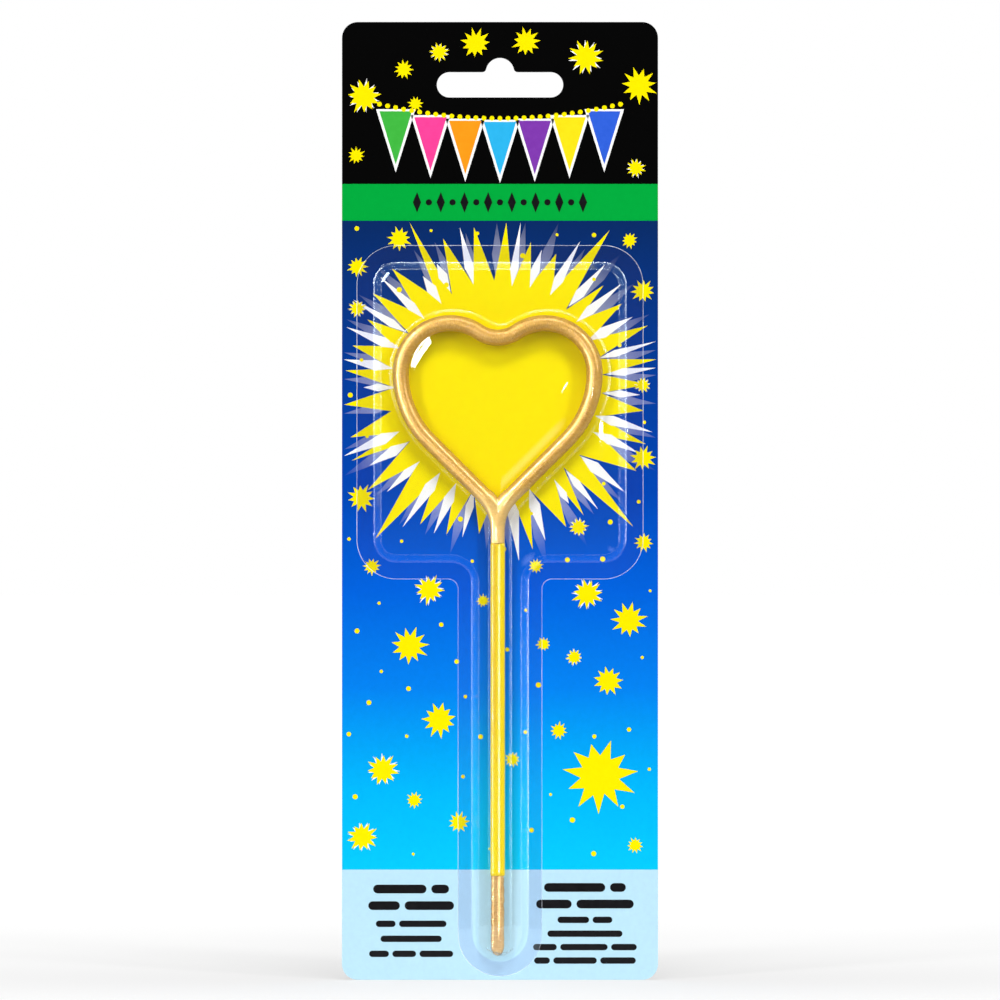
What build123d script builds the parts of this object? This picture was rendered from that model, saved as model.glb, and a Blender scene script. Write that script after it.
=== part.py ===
from build123d import *
from math import asin, cos, degrees, radians, sin, tan
import os

# A heart sparkler for a cake, packed on a hang card under a clear blister.
# Sizes are in millimetres. +Z runs up the card, the front faces -Y and +X is to the right.
# The origin is on the axis of the peg that carries the card, in the card's back face.

os.makedirs("parts", exist_ok=True)

# Card: a board with the usual wide hang slot and a round notch for a single peg
card_thickness = 0.5
card_corner = 4.0
card_above_peg = 12.7
card_side_margin = 3.7
card_foot_margin = 0.9
slot_width = 32.0
slot_height = 6.4
peg_notch_radius = 3.6
notch_shoulder = 1.0

# Wire: one steel wire, bent to a heart, with its two ends side by side as the stem
wire_diameter = 1.5
leg_gap = 0.15
heart_width = 49.0
lobe_radius = 12.6
cleft_radius = 8.6
side_radius = 24.0
arm_slope = 45.0
neck_bend_radius = 11.0
heart_below_peg = 63.6

# Coats and sleeve on the wire
heart_coat_diameter = 4.1
neck_coat = 0.25
neck_length = 4.9
sleeve_length = 84.0
sleeve_wall = 0.25
sleeve_groove = 0.15
tip_coat = 0.12
tip_web = 0.75
tip_length = 20.2
tip_drop_length = 4.0
coat_clearance = 0.01
sleeve_clearance = 0.05

# How the sparkler lies in its pocket: just off the card and a little to the left
rest_gap = 0.3
rest_shift = -0.6

# Blister: one clear sheet, formed to a flange, a tray with a stem channel, and a pocket
sheet = 0.3
seal_thickness = 0.05
tray_flange = 4.6
channel_flange = 3.7
tray_side_room = 5.15
tray_top_room = 13.15
tray_bottom_room = 4.5
tray_corner = 5.5
tray_headroom = 0.5
channel_shelf = 4.1
channel_neck_round = 5.5
flange_neck_round = 2.5
channel_end_room = 1.7
pocket_side_room = 1.3
pocket_headroom = 1.9
ridge_side_room = 1.0
ridge_neck_round = 7.0
ridge_end_setback = 2.2
draft = 12.0
tray_edge_round = 1.1
pocket_edge_round = 1.6
foot_round = 0.8

# How close a point has to lie to a level or a corner to count as on it
near = 0.05

# Places that follow from the sizes above
leg_pitch = wire_diameter + leg_gap
wire_radius = wire_diameter / 2
heart_coat_radius = heart_coat_diameter / 2
seal_front = card_thickness + seal_thickness
front_of_card = Plane.XZ.offset(card_thickness)
front_of_seal = Plane.XZ.offset(seal_front)
sparkler_lift = card_thickness + rest_gap + heart_coat_radius
sparkler_plane = Plane.XZ.offset(sparkler_lift) * Pos(rest_shift, 0)

# The right half of the heart's centre line, drawn from the cleft to the top of the leg
lobe_reach = heart_width / 2 - lobe_radius
cleft_turn = degrees(asin(lobe_reach / (lobe_radius + cleft_radius)))
cleft_drop = (lobe_radius + cleft_radius) * (1 - cos(radians(cleft_turn)))


def half_heart(grow):
    """The cleft, lobe and side arcs of the right half, moved outward by grow."""
    start = (0, -heart_below_peg - cleft_drop + grow)
    cleft = JernArc(start, (1, 0), cleft_radius - grow, cleft_turn)
    lobe = JernArc(cleft @ 1, cleft % 1, lobe_radius + grow, -90 - cleft_turn)
    side = JernArc(lobe @ 1, lobe % 1, side_radius + grow, -arm_slope)
    return [cleft, lobe, side]


heart_arcs = half_heart(0)
arm_start = heart_arcs[-1] @ 1
arm_to_leg = (arm_start.X - leg_pitch / 2) / sin(radians(arm_slope))
arm_length = arm_to_leg - neck_bend_radius * tan(radians(arm_slope / 2))
arm = PolarLine(arm_start, arm_length, direction=heart_arcs[-1] % 1)
neck_bend = JernArc(arm @ 1, arm % 1, neck_bend_radius, arm_slope)
neck_top = (neck_bend @ 1).Y
sleeve_top = neck_top - neck_length
sleeve_bottom = sleeve_top - sleeve_length
tip_end = sleeve_bottom - tip_length
leg_end = tip_end + tip_drop_length / 2
leg = Line(neck_bend @ 1, (leg_pitch / 2, leg_end))


def both_sides(edges):
    """A wire through the edges and their mirror images in the heart's middle line."""
    return Wire(edges + [edge.mirror(Plane.YZ) for edge in edges])


def tube(path, radius):
    """A round bar along the path."""
    section = Plane(path @ 0, z_dir=path % 0) * Circle(radius)
    return sweep(section, path=path)


def tapered_bend(start_radius, end_radius, sections=5):
    """The coat round the neck's bend, thinning smoothly from one radius to the other."""
    circles = []
    for index in range(sections):
        along = index / (sections - 1)
        eased = along * along * (3 - 2 * along)
        radius = start_radius + (end_radius - start_radius) * eased
        circles.append(Plane(neck_bend @ along, z_dir=neck_bend % along) * Circle(radius))
    return loft(circles)


def leg_pair(radius, web):
    """The section of both legs side by side, with a web of this thickness between them."""
    legs = Pos(-leg_pitch / 2, 0) * Circle(radius) + Pos(leg_pitch / 2, 0) * Circle(radius)
    return legs + Rectangle(leg_pitch, web)


def along_stem(section, top, bottom):
    """The section carried straight down the stem."""
    return Pos(rest_shift, -sparkler_lift, top) * extrude(section, -(top - bottom))


# Wire, from the end of one leg round the heart to the end of the other
whole_path = both_sides(heart_arcs + [arm, neck_bend, leg])
core_wire = sparkler_plane * tube(whole_path, wire_radius)
wire_bore = sparkler_plane * tube(whole_path, wire_radius + coat_clearance)

# Gold coat on the heart, thinning round the bends into the neck
neck_radius = wire_radius + neck_coat
heart_bar = tube(both_sides(heart_arcs + [arm]), heart_coat_radius)
right_bend = tapered_bend(heart_coat_radius, neck_radius)
right_neck = tube(Wire([Line(neck_bend @ 1, (leg_pitch / 2, sleeve_top))]), neck_radius)
right_side = right_bend + right_neck
coat = heart_bar + right_side + mirror(right_side, about=Plane.YZ)
heart_coating = sparkler_plane * coat - wire_bore

# Sleeve drawn over both legs, with a shallow groove where it dips between them
sleeve_bore = wire_radius + sleeve_clearance
sleeve_radius = sleeve_bore + sleeve_wall
sleeve_section = leg_pair(sleeve_radius, 2 * (sleeve_radius - sleeve_groove))
sleeve_section -= leg_pair(sleeve_bore, 2 * (sleeve_bore - sleeve_groove))
stem_sleeve = along_stem(sleeve_section, sleeve_top, sleeve_bottom)

# Gold dip that covers the leg ends and runs together in a drop
tip_radius = wire_radius + tip_coat
drop_top = tip_end + tip_drop_length
tip_legs = along_stem(leg_pair(tip_radius, tip_web), sleeve_bottom, drop_top)
drop_section = SlotCenterToCenter(leg_pitch, 2 * tip_radius)
tip_drop = along_stem(drop_section, drop_top, tip_end + tip_radius)
drop_round = Rot(0, 90, 0) * Cylinder(tip_radius, leg_pitch)
for side in (-1, 1):
    drop_round += Pos(side * leg_pitch / 2, 0, 0) * Sphere(tip_radius)
tip_drop += Pos(rest_shift, -sparkler_lift, tip_end + tip_radius) * drop_round
tip_coating = tip_legs + tip_drop - wire_bore

# Blister sizes, each taken from what lies under the sheet
tray_width = heart_width + heart_coat_diameter + 2 * tray_side_room
tray_top = -heart_below_peg + heart_coat_radius + tray_top_room
tray_length = tray_top - sleeve_top + tray_bottom_room
tray_depth = rest_gap + heart_coat_radius + sleeve_radius + tray_headroom + sheet
pocket_depth = rest_gap + heart_coat_diameter + pocket_headroom + sheet
ridge_width = leg_pitch + 2 * sleeve_radius + 2 * ridge_side_room
channel_width = ridge_width + 2 * channel_shelf

# Outline of the tray and the stem channel, at the foot of their wall
tray_middle = tray_top - tray_length / 2
channel_end = tip_end - channel_end_room
channel_round_centre = channel_end + channel_width / 2
channel_straight = tray_middle - channel_round_centre


def tray_and_channel(tray_grow, channel_grow, neck_round):
    """One outline round the tray and the channel, each grown outward by its own amount."""
    width = channel_width + 2 * channel_grow
    outline = Pos(0, tray_middle) * RectangleRounded(
        tray_width + 2 * tray_grow, tray_length + 2 * tray_grow, tray_corner + tray_grow
    )
    straight = Rectangle(width, channel_straight)
    outline += Pos(0, channel_round_centre + channel_straight / 2) * straight
    outline += Pos(0, channel_round_centre) * Circle(width / 2)
    tray_bottom = tray_middle - tray_length / 2 - tray_grow
    corners = outline.vertices().filter_by(
        lambda corner: abs(corner.Y - tray_bottom) < near and abs(corner.X) < width
    )
    return fillet(corners, neck_round)


tray_outline = tray_and_channel(0, 0, channel_neck_round)

# Outline of the pocket for the heart and of the ridge over the stem, above the tray
pocket_grow = heart_coat_radius + pocket_side_room
pocket_arcs = half_heart(pocket_grow)
pocket_side_end = pocket_arcs[-1] @ 1
pocket_point = (0, pocket_side_end.Y - pocket_side_end.X / tan(radians(arm_slope)))
pocket_half = pocket_arcs + [Line(pocket_side_end, pocket_point)]
pocket_outline = make_face(both_sides(pocket_half))
ridge_round_centre = channel_end + ridge_end_setback + ridge_width / 2
ridge_top = -heart_below_peg - cleft_drop - heart_coat_diameter
pocket_outline += Pos(0, (ridge_top + ridge_round_centre) / 2) * Rectangle(
    ridge_width, ridge_top - ridge_round_centre
)
pocket_outline += Pos(0, ridge_round_centre) * Circle(ridge_width / 2)
ridge_corners = pocket_outline.vertices().filter_by(
    lambda corner: ridge_round_centre + near < corner.Y < pocket_side_end.Y - near
)
pocket_outline = fillet(ridge_corners, ridge_neck_round)


def rounded_foot(solid, level, radius):
    """The solid with a round at the foot of what stands on its flat face at this level."""
    flats = solid.faces().filter_by(Plane.XZ)
    face = flats.filter_by_position(Axis.Y, -level - near, -level + near)[0]
    return fillet(face.inner_wires()[0].edges(), radius)


def formed(inset):
    """The solid under one skin of the sheet: 0 gives its outside and sheet its inside."""
    tray = extrude(
        front_of_seal * offset(tray_outline, -inset), tray_depth - inset, taper=draft
    )
    tray = fillet(tray.faces().sort_by(Axis.Y)[0].edges(), tray_edge_round - inset)
    pocket_foot = front_of_seal.offset(tray_depth / 2)
    pocket = extrude(
        pocket_foot * offset(pocket_outline, -inset),
        pocket_depth - tray_depth / 2 - inset,
        taper=draft,
    )
    pocket = fillet(pocket.faces().sort_by(Axis.Y)[0].edges(), pocket_edge_round - inset)
    return rounded_foot(tray + pocket, seal_front + tray_depth - inset, foot_round + inset)


# Blister and the band of seal lacquer that holds its flange to the card
flange_outline = tray_and_channel(tray_flange, channel_flange, flange_neck_round)
flange = extrude(front_of_seal * flange_outline, sheet)
blister_outside = rounded_foot(flange + formed(0), seal_front + sheet, foot_round)
blister_shell = blister_outside - formed(sheet)
seal_outline = flange_outline - offset(tray_outline, -sheet)
seal_coat = extrude(front_of_card * seal_outline, seal_thickness)

# Hang slot with its notch
hang_opening = Pos(0, -slot_height / 2) * SlotOverall(slot_width, slot_height)
hang_opening += Circle(peg_notch_radius)
notch_corners = hang_opening.vertices().filter_by(
    lambda corner: abs(abs(corner.X) - peg_notch_radius) < near
)
hang_opening = fillet(notch_corners, notch_shoulder)

# Card, cut to size round the flange
card_width = tray_width + 2 * (tray_flange + card_side_margin)
card_bottom = channel_end - channel_flange - card_foot_margin
card_height = card_above_peg - card_bottom
card_middle = (card_above_peg + card_bottom) / 2
card_outline = Pos(0, card_middle) * RectangleRounded(card_width, card_height, card_corner)
backing_card = extrude(Plane.XZ * (card_outline - hang_opening), card_thickness)

export_step(backing_card, "parts/backing_card.step")
export_step(seal_coat, "parts/seal_coat.step")
export_step(blister_shell, "parts/blister_shell.step")
export_step(core_wire, "parts/core_wire.step")
export_step(heart_coating, "parts/heart_coating.step")
export_step(stem_sleeve, "parts/stem_sleeve.step")
export_step(tip_coating, "parts/tip_coating.step")
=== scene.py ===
# %% [markdown]
# # A heart sparkler on its hang card
# The real object is a wire heart with a gold coat, a yellow sleeve on its stem and a dipped tip.
# It lies loose under a clear formed blister, which is sealed to a printed card with a hang slot.
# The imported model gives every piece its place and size. This lesson dresses it: new surfaces where
# the finish needs them, and a material with real detail on everything that shows.

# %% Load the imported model
import math

import bmesh
import bpy
import numpy as np
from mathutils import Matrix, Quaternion, Vector


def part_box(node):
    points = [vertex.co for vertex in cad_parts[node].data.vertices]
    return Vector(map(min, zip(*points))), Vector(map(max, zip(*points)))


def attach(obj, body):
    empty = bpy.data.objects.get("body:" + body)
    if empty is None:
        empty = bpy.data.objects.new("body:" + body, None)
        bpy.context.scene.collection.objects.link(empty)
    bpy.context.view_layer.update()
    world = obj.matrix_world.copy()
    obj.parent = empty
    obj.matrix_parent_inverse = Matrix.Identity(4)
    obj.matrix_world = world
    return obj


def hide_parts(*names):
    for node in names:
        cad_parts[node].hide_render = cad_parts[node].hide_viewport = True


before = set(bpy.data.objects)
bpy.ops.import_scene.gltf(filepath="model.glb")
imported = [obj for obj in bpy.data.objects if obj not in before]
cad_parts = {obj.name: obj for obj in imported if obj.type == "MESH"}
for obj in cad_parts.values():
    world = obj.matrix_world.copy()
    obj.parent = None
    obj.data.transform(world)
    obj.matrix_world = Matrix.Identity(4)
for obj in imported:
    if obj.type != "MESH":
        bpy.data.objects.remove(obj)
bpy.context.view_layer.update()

MM = 0.001

# %% [markdown]
# ## Sizes from the frame
# Blender works in metres, but a card and a wire are easier to think about in millimetres. So the
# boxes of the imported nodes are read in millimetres, the shapes are worked out in millimetres, and
# one helper turns them into metres when a mesh is made.

# %% Boxes in millimetres
def box_mm(node):
    """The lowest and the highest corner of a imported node, in millimetres."""
    low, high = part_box(node)
    return np.array(low) / MM, np.array(high) / MM


card_low, card_high = box_mm("backing_card")
seal_low, _ = box_mm("seal_coat")
blister_low, blister_high = box_mm("blister_shell")
coat_low, coat_high = box_mm("heart_coating")
sleeve_low, sleeve_high = box_mm("stem_sleeve")
tip_low, tip_high = box_mm("tip_coating")
card_front = card_low[1]
print("card", card_high - card_low, "blister", blister_high - blister_low)

# %% [markdown]
# ## Making a piece from arrays
# Every new surface below is a numpy array of points and an array of faces. Putting them into a mesh
# in one go is much quicker than adding vertices one by one, and the formula stays readable. The
# helper also says which body the piece rides on.

# %% Helpers for new pieces
def add_piece(name, points, face_arrays, body, slot, material, smooth=True):
    """A mesh object from points in millimetres and arrays of faces, riding on a body of the model."""
    mesh = bpy.data.meshes.new(name)
    faces = [corners for array in face_arrays for corners in array.tolist()]
    mesh.from_pydata((points * MM).tolist(), [], faces)
    mesh.polygons.foreach_set("use_smooth", np.full(len(mesh.polygons), smooth))
    mesh.materials.append(material)
    mesh.update()
    piece = bpy.data.objects.new(name, mesh)
    bpy.context.scene.collection.objects.link(piece)
    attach(piece, body)
    print(name, len(mesh.vertices), "points", len(mesh.polygons), "faces")
    return piece


def grid_faces(rows, columns, around=False, closed=False):
    """Quads between neighbours of a grid; around joins last column to first, closed last row to first."""
    row = np.arange(rows if closed else rows - 1)[:, None]
    column = np.arange(columns if around else columns - 1)[None, :]
    next_row = (row + 1) % rows
    next_column = (column + 1) % columns
    corners = [row * columns + column, next_row * columns + column]
    corners += [next_row * columns + next_column, row * columns + next_column]
    return np.stack(np.broadcast_arrays(*corners), axis=-1).reshape(-1, 4)


# %% [markdown]
# ## Shader maths as Python expressions
# A material is a tree of nodes. Wiring each node by hand hides the idea, so a small class wraps one
# socket and gives it the usual operators: 1 - mask adds a Math node and returns its output. Any
# other node comes from one method, which sets the node's options first and then its sockets.

# %% Wrapped sockets
class Value:
    """One socket of a node tree. An operator on it adds a Math node and gives the new socket."""

    def __init__(self, tree, socket):
        self.tree = tree
        self.socket = socket

    def maths(self, operation, first, second):
        return self.tree.node("Math", {"operation": operation}, {0: first, 1: second})

    def __add__(self, other):
        return self.maths("ADD", self, other)

    def __sub__(self, other):
        return self.maths("SUBTRACT", self, other)

    def __rsub__(self, other):
        return self.maths("SUBTRACT", other, self)

    def __mul__(self, other):
        return self.maths("MULTIPLY", self, other)

    def __truediv__(self, other):
        return self.maths("DIVIDE", self, other)

    def __pow__(self, other):
        return self.maths("POWER", self, other)

    def __gt__(self, other):
        return self.maths("GREATER_THAN", self, other)

    def __lt__(self, other):
        return self.maths("LESS_THAN", self, other)

    __radd__ = __add__
    __rmul__ = __mul__


class Finish:
    """The node tree of a material or a world, filled one node at a time."""

    def __init__(self, owner):
        owner.use_nodes = True
        self.owner = owner
        self.nodes = owner.node_tree.nodes
        self.links = owner.node_tree.links
        self.nodes.clear()

    def node(self, kind, settings=None, sockets=None, output=0):
        """Adds a node of this kind, sets its options, then its sockets, and gives one output."""
        made = self.nodes.new("ShaderNode" + kind)
        for name, setting in (settings or {}).items():
            if name == "stops":
                self.set_stops(made.color_ramp.elements, setting)
            else:
                setattr(made, name, setting)
        for name, value in (sockets or {}).items():
            if isinstance(value, Value):
                self.links.new(value.socket, made.inputs[name])
            else:
                made.inputs[name].default_value = value
        return Value(self, made.outputs[output]) if made.outputs else made

    def set_stops(self, elements, stops):
        """Gives a colour ramp its stops, in rising order."""
        elements[0].position, elements[0].color = stops[0]
        elements[1].position, elements[1].color = stops[-1]
        for position, colour in stops[1:-1]:
            elements.new(position).color = colour

    def place(self):
        """The piece's own coordinates, in metres."""
        return self.node("TexCoord", output="Object")

    def part(self, vector, axis):
        """One part of a vector: 0 across, 1 deep or 2 up."""
        return self.node("SeparateXYZ", {}, {0: vector}, output=axis)

    def mapped(self, place, scale, turn=(0, 0, 0)):
        """Coordinates scaled along each axis and turned about it, with the turns in radians."""
        return self.node("Mapping", {}, {"Vector": place, "Rotation": turn, "Scale": scale})

    def length(self, vector):
        """How long a vector is."""
        return self.node("VectorMath", {"operation": "LENGTH"}, {0: vector}, output="Value")

    def slant(self):
        """0 where the surface faces the eye, growing to 1 where it turns away."""
        return self.node("LayerWeight", {}, {"Blend": 0.5}, output="Facing")

    def ease(self, value, start, end, most=1.0):
        """Rises softly from 0, where the value is at the start, to the most at the end."""
        sockets = {"Value": value, "From Min": start, "From Max": end, "To Max": most}
        return self.node("MapRange", {"interpolation_type": "SMOOTHSTEP"}, sockets)

    def mix(self, factor, first, second):
        """A colour between two colours."""
        return self.node("Mix", {"data_type": "RGBA"}, {0: factor, 6: first, 7: second}, output=2)

    def noise(self, place, scale, detail=3.0):
        """Cloudy noise from 0 to 1, this many cells to the metre."""
        return self.node("TexNoise", {}, {"Vector": place, "Scale": scale, "Detail": detail})

    def bump(self, height, distance, strength=1.0):
        """A normal that follows a height from 0 to 1 over this distance in metres."""
        sockets = {"Height": height, "Distance": distance, "Strength": strength}
        return self.node("Bump", {}, sockets)

    def surface(self, shader):
        """Ends the tree of a material with this shader."""
        self.node("OutputMaterial", {}, {"Surface": shader})
        return self.owner

    def painted(self, sockets):
        """Ends the tree of a material with one Principled shader that has these sockets."""
        return self.surface(self.node("BsdfPrincipled", {}, sockets))


def new_finish(name):
    """An empty node tree in a new material of this name."""
    return Finish(bpy.data.materials.new(name))


def colour(red, green, blue):
    """A screen colour of 0 to 255 as the linear colour that shaders work in."""
    share = np.array([red, green, blue]) / 255
    linear = np.where(share > 0.04045, ((share + 0.055) / 1.055) ** 2.4, share / 12.92)
    return (*linear.tolist(), 1.0)


def grey(level):
    """A linear grey of this brightness, where 1 is white."""
    return (level, level, level, 1.0)


print("shader helpers ready")

# %% [markdown]
# ## Camera
# The picture is taken straight from the front with a long lens, so the card's sides stay upright. The
# card fills a known share of the picture's width, and that gives the width of the picture at the card.

# %% Camera
CARD_SHARE = 0.316
CARD_TOP_SHARE = 0.478
CAMERA_DISTANCE = 1500.0
picture_width = (card_high[0] - card_low[0]) / CARD_SHARE
picture_middle = card_high[2] - CARD_TOP_SHARE * picture_width
camera_data = bpy.data.cameras.new("camera")
camera_data.lens = camera_data.sensor_width * CAMERA_DISTANCE / picture_width
camera = bpy.data.objects.new("camera", camera_data)
camera.location = (0, (card_front - CAMERA_DISTANCE) * MM, picture_middle * MM)
camera.rotation_euler = (math.radians(90), 0, 0)
bpy.context.scene.collection.objects.link(camera)
bpy.context.scene.camera = camera
print("picture width", round(picture_width, 1), "mm, lens", round(camera_data.lens), "mm")

# %% [markdown]
# ## Studio
# A product like this is shot on white with soft boxes at both sides and above. Clear plastic shows only
# what it mirrors, so it gets lamps that light nothing else: strips at the sides, the top and the upper
# corners draw lines along its edges, a slim strip and a tiny lamp leave gleams on the dome, and a low
# panel brushes its right side. One strip does the same for the whole sparkler, and a front strip with
# two panels for the gold heart. Light linking and a switched-off diffuse share keep all of them to
# gleams. The room before the card stays dim, so that the flat plastic looks clear. The floor glows, so
# that it stays as white as the background, and its glow is dimmed near the foot of the card, which
# paints a faint shadow under the card.

# %% Lights
def soft_box(name, place, target, width, height, power, roll=0.0):
    """A flat lamp of this size in millimetres, turned towards a target, with its power in watts."""
    lamp = bpy.data.lights.new(name, "AREA")
    lamp.shape = "RECTANGLE"
    lamp.size = width * MM
    lamp.size_y = height * MM
    lamp.energy = power
    box = bpy.data.objects.new(name, lamp)
    box.location = Vector(place) * MM
    aim = (Vector(target) * MM - box.location).to_track_quat("-Z", "Y")
    box.rotation_euler = (aim @ Quaternion((0, 0, 1), math.radians(roll))).to_euler()
    bpy.context.scene.collection.objects.link(box)
    return box


card_middle = (0, 0, picture_middle)
soft_box("left_box", (-640, -620, 300), card_middle, 150, 620, 4.25)
soft_box("right_box", (720, -600, 300), card_middle, 150, 620, 4.4)
soft_box("top_box", (60, -520, 760), card_middle, 600, 160, 5.35)
bpy.context.scene.view_settings.view_transform = "Standard"
print("soft boxes:", [light.name for light in bpy.data.lights])


# %% Lamps that only gleam
def gleam(name, place, target, width, height, power, receivers, roll=0.0):
    """A soft box that shows only as a reflection, and only on the pieces of one collection."""
    strip = soft_box(name, place, target, width, height, power, roll)
    strip.light_linking.receiver_collection = receivers
    strip.visible_diffuse = False
    strip.visible_camera = False
    return strip


plastic = bpy.data.collections.new("plastic")
sparkler_pieces = bpy.data.collections.new("sparkler_pieces")
golden_heart = bpy.data.collections.new("golden_heart")
right_arm = (14, 0, -88)
LOW_PANEL_SPREAD = 14.0
gleam("left_strip", (-800, -420, 135), card_middle, 380, 530, 9.5, plastic)
gleam("left_low_strip", (-800, -420, -215), card_middle, 380, 150, 1.3, plastic)
gleam("right_strip", (800, -420, 135), card_middle, 380, 530, 10.5, plastic)
gleam("right_low_strip", (800, -420, -215), card_middle, 380, 150, 3.2, plastic)
gleam("top_strip", (0, -420, 760), card_middle, 600, 380, 9.0, plastic)
gleam("left_corner_strip", (-560, -420, 560), card_middle, 300, 300, 4.2, plastic)
gleam("right_corner_strip", (560, -420, 560), card_middle, 300, 300, 4.2, plastic)
gleam("lobe_strip", (-318, -620, 129), card_middle, 70, 315, 2.1, plastic, roll=-34)
gleam("window_lamp", (105, -800, -82), card_middle, 60, 5, 0.03, plastic)
gleam("stem_strip", (-640, -620, -140), card_middle, 140, 700, 15, sparkler_pieces)
gleam("front_strip", (-150, -1100, -100), card_middle, 120, 400, 3.3, golden_heart)
gleam("left_arm_panel", (-560, -620, 490), card_middle, 160, 160, 8, golden_heart)
gleam("right_arm_panel", (560, -620, 490), card_middle, 160, 160, 3, golden_heart)
low_panel = gleam("low_panel", (99, -300, -187), right_arm, 150, 110, 0.0005, plastic, roll=-45)
low_panel.data.spread = math.radians(LOW_PANEL_SPREAD)
print("lamps", len(bpy.data.lights))

# %% Room
world = Finish(bpy.data.worlds.new("room"))
bpy.context.scene.world = world.owner
rays = world.node("LightPath", output="Is Camera Ray")
direction = world.node("TexCoord", output="Generated")
behind = world.part(direction, 1) > 0.0
ROOM_BEHIND_CARD = 0.15
ROOM_BEFORE_CARD = 0.1
room = ROOM_BEFORE_CARD + behind * (ROOM_BEHIND_CARD - ROOM_BEFORE_CARD)
brightness = room + rays * (1.0 - room)
sky = world.node("Background", {}, {"Color": grey(1), "Strength": brightness})
world.node("OutputWorld", {}, {"Surface": sky})
print("room light behind the card", ROOM_BEHIND_CARD, "and before it", ROOM_BEFORE_CARD)

# %% Floor
FLOOR_REACH = 6000.0
FLOOR_BEFORE_CARD = 180.0
FLOOR_GAP = 0.1
FLOOR_CLOUD_CELLS = 6.0
floor_x, floor_y = np.meshgrid([-FLOOR_REACH, FLOOR_REACH], [-FLOOR_BEFORE_CARD, FLOOR_REACH])
floor_points = np.stack([floor_x, floor_y, np.full((2, 2), card_low[2] - FLOOR_GAP)], axis=-1)
floor_mesh = bpy.data.meshes.new("floor")
floor_mesh.from_pydata((floor_points.reshape(-1, 3) * MM).tolist(), [], [(0, 1, 3, 2)])
floor = bpy.data.objects.new("floor", floor_mesh)
bpy.context.scene.collection.objects.link(floor)

white_floor = new_finish("white_floor")
floor_place = white_floor.place()
floor_cloud = white_floor.noise(floor_place, FLOOR_CLOUD_CELLS)
CARD_STRETCH = (0.35, 1, 0)
beside_card = white_floor.node("VectorMath", {"operation": "MULTIPLY"}, {0: floor_place, 1: CARD_STRETCH})
floor_distance = white_floor.length(beside_card)
# Painted shadow: the floor glows least at the foot of the card and more with the distance from it.
glow_and_shadow_levels = {0.0: 0.58, 0.02: 0.62, 0.06: 0.69, 0.12: 0.77, 0.3: 0.84, 0.6: 0.93, 1.0: 1.0}
glow_and_shadow_stops = [(metres, grey(level)) for metres, level in glow_and_shadow_levels.items()]
floor_glow_and_shadow = white_floor.node("ValToRGB", {"stops": glow_and_shadow_stops}, {0: floor_distance})
floor_sockets = {
    "Base Color": white_floor.mix(floor_cloud, grey(0.29), grey(0.31)),
    "Roughness": 0.6,
    "Specular IOR Level": 0.0,
    "Emission Color": floor_glow_and_shadow,
    "Emission Strength": 1.0,
}
floor_mesh.materials.append(white_floor.painted(floor_sockets))
print("floor", FLOOR_REACH, "mm wide each way")

# %% [markdown]
# ## The card's board
# The card is offset-printed board: black at the head, a green band, a blue sky that grows lighter
# downwards and a pale foot. A colour ramp makes the sky, because it blends smoothly. A ramp is kept as a
# short table, though, so its edges are never sharp, and the other inks start where the height passes
# their edge. The back is plain grey board, and the cut edge shows the white fibre. The surface normal
# tells the front, the back and the edge apart.

# %% Printed board
HEADER_END = -28.3
BAND_END = -37.6
SKY_END = -201.9
MOTTLE_CELLS = 900.0
FIBRE_CELLS = 2600.0
PRINT_RELIEF = 0.00001
TURNED_FULLY = 0.5
SKY_STOPS = [
    (0.0, colour(5, 203, 250)),
    (0.12, colour(2, 186, 252)),
    (0.28, colour(4, 132, 242)),
    (0.43, colour(2, 100, 224)),
    (0.58, colour(2, 71, 182)),
    (1.0, colour(10, 44, 102)),
]


def sky_ink(finish, height):
    """The blue of the sky at a height in millimetres, light above the foot and deep below the band."""
    share = (height - SKY_END) / (BAND_END - SKY_END)
    return finish.node("ValToRGB", {"stops": SKY_STOPS}, {0: share})


def mottled(finish, mottle, ink):
    """An ink with the faint mottle that offset print has."""
    shade = finish.mix(mottle, grey(0.9), grey(1))
    settings = {"data_type": "RGBA", "blend_type": "MULTIPLY"}
    return finish.node("Mix", settings, {0: 1.0, 6: ink, 7: shade}, output=2)


def varnish(speck):
    """The sockets of a satin print varnish, a little rougher where the speck is strong."""
    return {"Roughness": 0.14 + speck * 0.06, "Specular IOR Level": 0.1}


def printed_board():
    """White board with four printed zones on its front, and a bare grey back."""
    finish = new_finish("printed_board")
    place = finish.place()
    height = finish.part(place, 2) / MM
    inks = sky_ink(finish, height)
    inks = finish.mix(height < SKY_END, inks, colour(192, 232, 250))
    inks = finish.mix(height > BAND_END, inks, colour(2, 174, 63))
    inks = finish.mix(height > HEADER_END, inks, colour(5, 5, 5))
    mottle = finish.noise(place, MOTTLE_CELLS)
    front = mottled(finish, mottle, inks)
    fibre = finish.noise(place, FIBRE_CELLS, 5.0)
    back = finish.mix(fibre, colour(214, 212, 206), colour(238, 237, 232))
    edge = finish.mix(fibre, colour(226, 226, 222), colour(250, 249, 246))
    facing = finish.part(finish.node("NewGeometry", output="Normal"), 1)
    board = finish.mix(facing > TURNED_FULLY, edge, back)
    board = finish.mix(facing < -TURNED_FULLY, board, front)
    relief = finish.bump(fibre, PRINT_RELIEF, 0.3)
    return finish.painted({"Base Color": board, **varnish(mottle), "Normal": relief})


def dress_node(node, material):
    """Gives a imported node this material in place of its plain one."""
    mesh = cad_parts[node].data
    mesh.materials.clear()
    mesh.materials.append(material)


dress_node("backing_card", printed_board())
print("card zones end at", HEADER_END, BAND_END, SKY_END)

# %% [markdown]
# ## Ink as thin prisms
# Stars and rays could be painted by the card's shader, but then a sharp edge would depend on the size
# of a baked picture. Here each motif is a real film of ink: a closed prism some hundredths of a
# millimetre high. All copies of a motif are worked out at once, as one array of outlines. Later inks
# stand a hair higher than earlier ones, so that they cover them as they would in print.

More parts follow.
